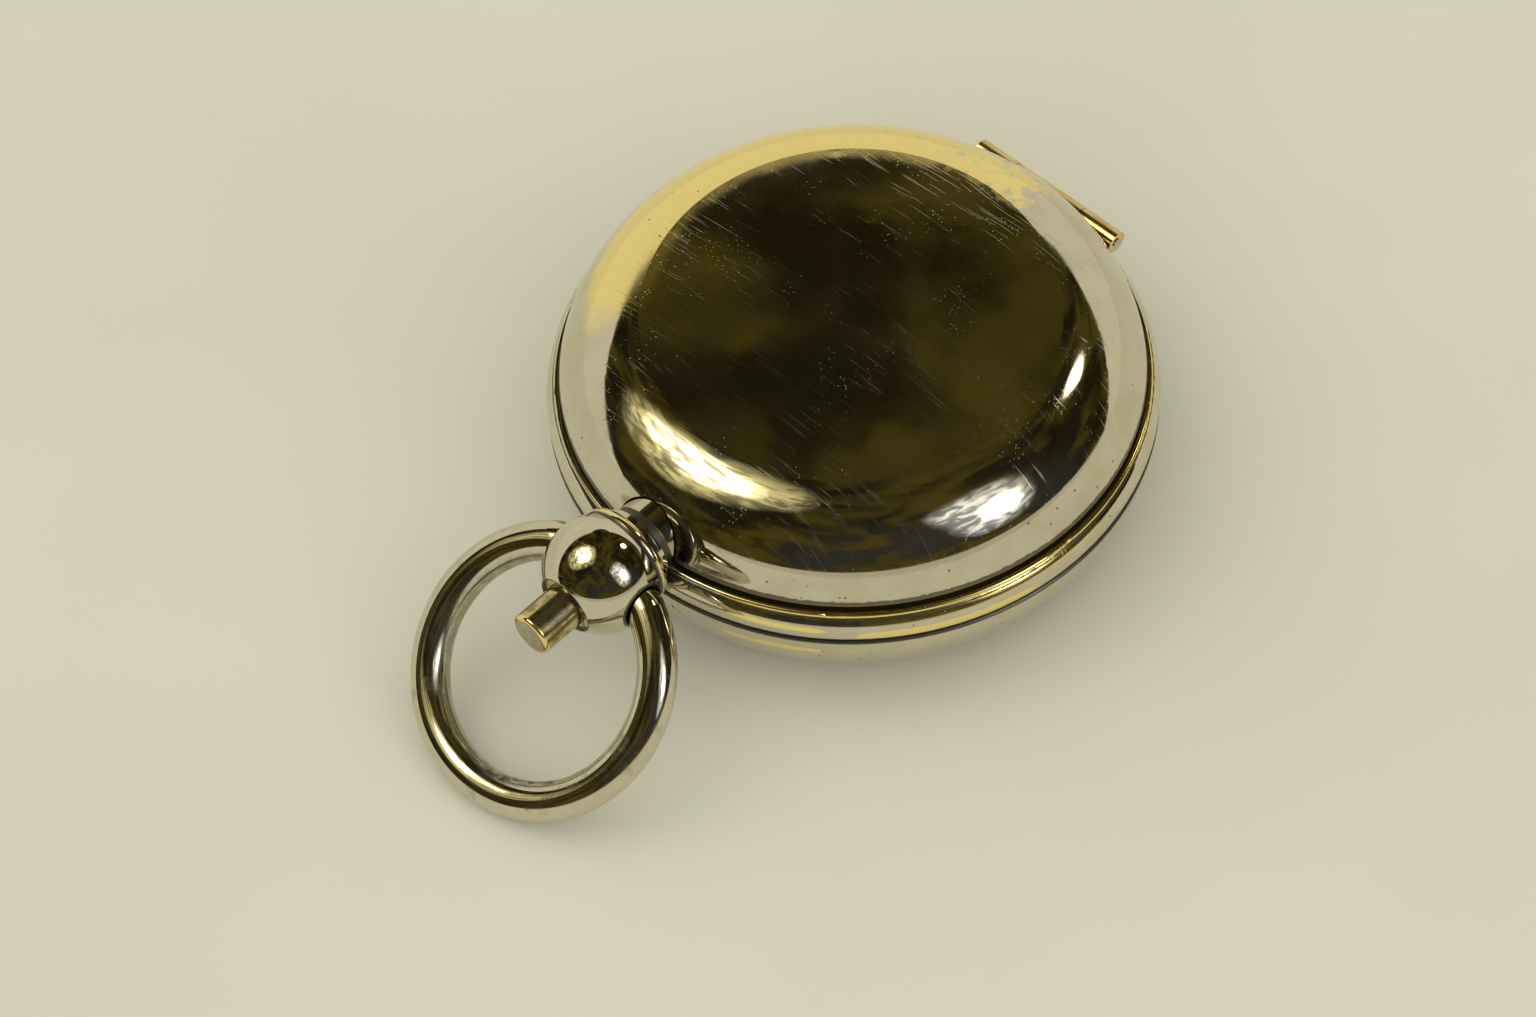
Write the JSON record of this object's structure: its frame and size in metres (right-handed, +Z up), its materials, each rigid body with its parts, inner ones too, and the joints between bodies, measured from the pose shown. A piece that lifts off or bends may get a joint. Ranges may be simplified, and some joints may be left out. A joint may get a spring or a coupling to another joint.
{
  "type": "pocket compass",
  "caption": "Hunter-case pocket compass: round metal case with a hinged dome lid over a glazed dial and needle, a ball pendant with a swinging bow, and a push button.",
  "frame": {"origin": "centre of the small flat on which the back stands", "axes": "+Z up along the case's axis through the lid; +Y from the pendant to the hinge; the pendant, push piece and bow point along -Y; +X right, seen from the pendant"},
  "size_m": [0.0462, 0.0652, 0.0195],
  "materials": {
    "case_plate": "nickel plated, polished, scratched and worn through in places",
    "band_plate": "nickel plated, worn to brass along its beads",
    "push_brass": "turned brass with worn plating on the end",
    "bare_brass": "turned and lacquered",
    "steel": "polished",
    "blued_steel": "heat blued",
    "glass": "clear, polished",
    "dial_white": "matt enamel with printed divisions",
    "ring_silver": "silvered, satin, with engraved divisions",
    "agate": "polished stone"
  },
  "bodies": {
    "case": {"back_cover": "case_plate", "case_band": "band_plate", "pendant": "case_plate", "pendant_sleeve": "push_brass", "push_spring": "steel", "band_knuckles": "bare_brass", "hinge_pin": "steel", "lift_spring": "steel", "lift_spring_screw": "steel", "compass_bowl": "bare_brass", "bezel": "bare_brass", "crystal": "glass", "crystal_ring": "steel", "dial_plate": "dial_white", "degree_ring": "ring_silver", "dial_pillars": "bare_brass", "dial_screws": "steel", "pivot_post": "bare_brass", "pivot_pin": "steel", "post_nut": "bare_brass", "lever_pin": "steel", "lever_bracket": "bare_brass", "lever_spring": "steel", "leaf_screw": "steel"},
    "lid": {"lid": "case_plate", "lid_rim": "bare_brass", "lid_knuckle": "bare_brass"},
    "bow": {"bow": "case_plate"},
    "push": {"push_piece": "push_brass", "stem_collar": "bare_brass", "latch_plate": "steel", "latch_screw": "bare_brass"},
    "lifter": {"lifting_sleeve": "bare_brass"},
    "needle": {"needle": "blued_steel", "needle_hub": "bare_brass", "needle_jewel": "agate", "balance_slider": "bare_brass"},
    "lever": {"arrest_lever": "steel"},
    "plunger": {"arrest_plunger": "steel"}
  },
  "joints": [
    {"name": "lid_hinge", "type": "hinge", "parent": "case", "child": "lid", "pos_m": [0, 0.0221, 0.01185], "axis": [-1, 0, 0], "range_deg": [0, 95]},
    {"name": "bow_swing", "type": "hinge", "parent": "case", "child": "bow", "pos_m": [0, -0.0264, 0.0126], "axis": [-1, 0, 0], "range_deg": [-62, 137]},
    {"name": "push_slide", "type": "slide", "parent": "case", "child": "push", "axis": [0, 1, 0], "range_m": [0, 0.0006], "stiffness_N_per_m": 2000, "springref_m": -0.0005, "deforming": ["push_spring"]},
    {"name": "lifter_slide", "type": "slide", "parent": "case", "child": "lifter", "axis": [0, 0, -1], "range_m": [0, 0.0008]},
    {"name": "needle_spin", "type": "hinge", "parent": "lifter", "child": "needle", "pos_m": [0, 0, 0.01005], "axis": [0, 0, 1], "continuous": true},
    {"name": "lever_rock", "type": "hinge", "parent": "case", "child": "lever", "pos_m": [0.0048, 0.00831, 0.00582], "axis": [0.866, -0.5, 0], "range_deg": [0, 5.11]},
    {"name": "plunger_slide", "type": "slide", "parent": "case", "child": "plunger", "axis": [0, 0, 1], "range_m": [0, 0.00089632]}
  ],
  "couplings": [
    {"joint": "lever_rock", "follows": "lid_hinge", "ratio": 0.053789},
    {"joint": "plunger_slide", "follows": "lid_hinge", "m_per_rad": 0.00054058},
    {"joint": "lifter_slide", "follows": "lid_hinge", "m_per_rad": 0.00048249}
  ]
}
